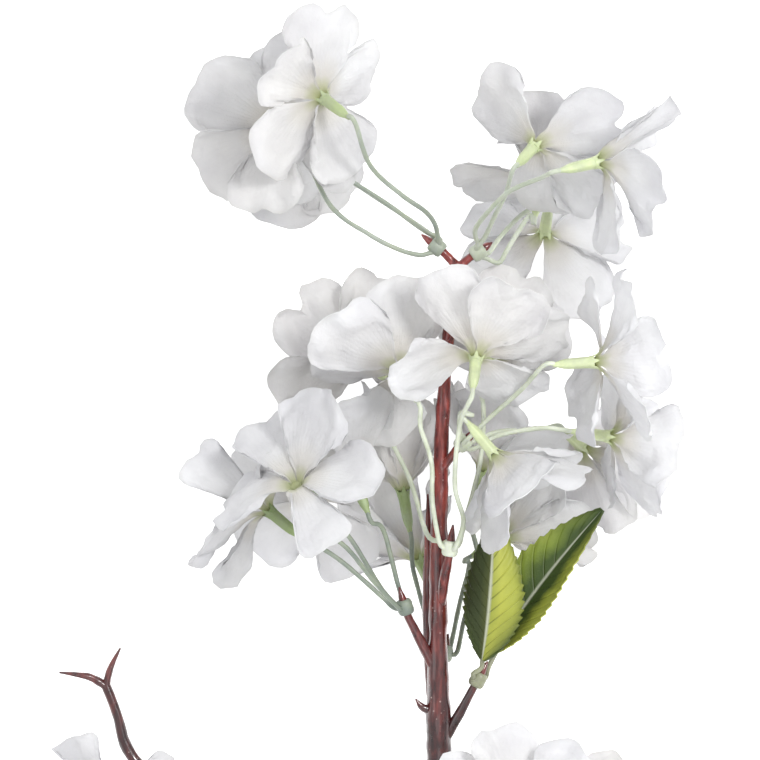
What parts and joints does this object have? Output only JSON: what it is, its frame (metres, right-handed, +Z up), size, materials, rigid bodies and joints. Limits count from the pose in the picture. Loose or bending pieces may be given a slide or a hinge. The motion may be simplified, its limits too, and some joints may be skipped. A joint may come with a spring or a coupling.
{
  "type": "artificial apple blossom branch",
  "caption": "Artificial blossom branch: a moulded twig with whorls of white cloth flowers on thin green stalks, two toothed leaves and a side twig, lying down.",
  "frame": {"origin": "on the table that the branch lies on, under the middle of its outline seen from above", "axes": "+Y from the cut end to the flowering forks, +Z up from the table, +X to the right of the stem"},
  "size_m": [0.2067, 0.3431, 0.1129],
  "materials": {
    "petal_cloth": "matt white cloth, slightly see-through",
    "twig_plastic": "glossy red-brown moulding",
    "calyx_plastic": "pale green moulding, slightly see-through",
    "leaf_cloth": "printed green cloth",
    "leaf_stalk_plastic": "whitish green moulding",
    "wire_steel": "plain drawn wire"
  },
  "bodies": {
    "root": {"core_wire": "wire_steel", "corolla_bottom_1": "petal_cloth", "corolla_bottom_2": "petal_cloth", "corolla_bottom_3": "petal_cloth", "corolla_bottom_4": "petal_cloth", "corolla_centre_1": "petal_cloth", "corolla_centre_2": "petal_cloth", "corolla_centre_3": "petal_cloth", "corolla_centre_4": "petal_cloth", "corolla_left_1": "petal_cloth", "corolla_left_2": "petal_cloth", "corolla_left_3": "petal_cloth", "corolla_left_4": "petal_cloth", "corolla_low_centre_1": "petal_cloth", "corolla_low_centre_2": "petal_cloth", "corolla_low_centre_3": "petal_cloth", "corolla_low_centre_4": "petal_cloth", "corolla_right_1": "petal_cloth", "corolla_right_2": "petal_cloth", "corolla_right_3": "petal_cloth", "corolla_right_4": "petal_cloth", "corolla_side_1": "petal_cloth", "corolla_side_2": "petal_cloth", "corolla_side_3": "petal_cloth", "corolla_side_4": "petal_cloth", "corolla_top_left_1": "petal_cloth", "corolla_top_left_2": "petal_cloth", "corolla_top_left_3": "petal_cloth", "corolla_top_left_4": "petal_cloth", "corolla_top_right_1": "petal_cloth", "corolla_top_right_2": "petal_cloth", "corolla_top_right_3": "petal_cloth", "corolla_top_right_4": "petal_cloth", "leaf_1": "leaf_cloth", "leaf_2": "leaf_cloth", "leaf_carrier": "leaf_stalk_plastic", "main_stem": "twig_plastic", "side_branch": "twig_plastic", "whorl_bottom": "calyx_plastic", "whorl_centre": "calyx_plastic", "whorl_left": "calyx_plastic", "whorl_low_centre": "calyx_plastic", "whorl_right": "calyx_plastic", "whorl_side": "calyx_plastic", "whorl_top_left": "calyx_plastic", "whorl_top_right": "calyx_plastic"}
  },
  "joints": []
}
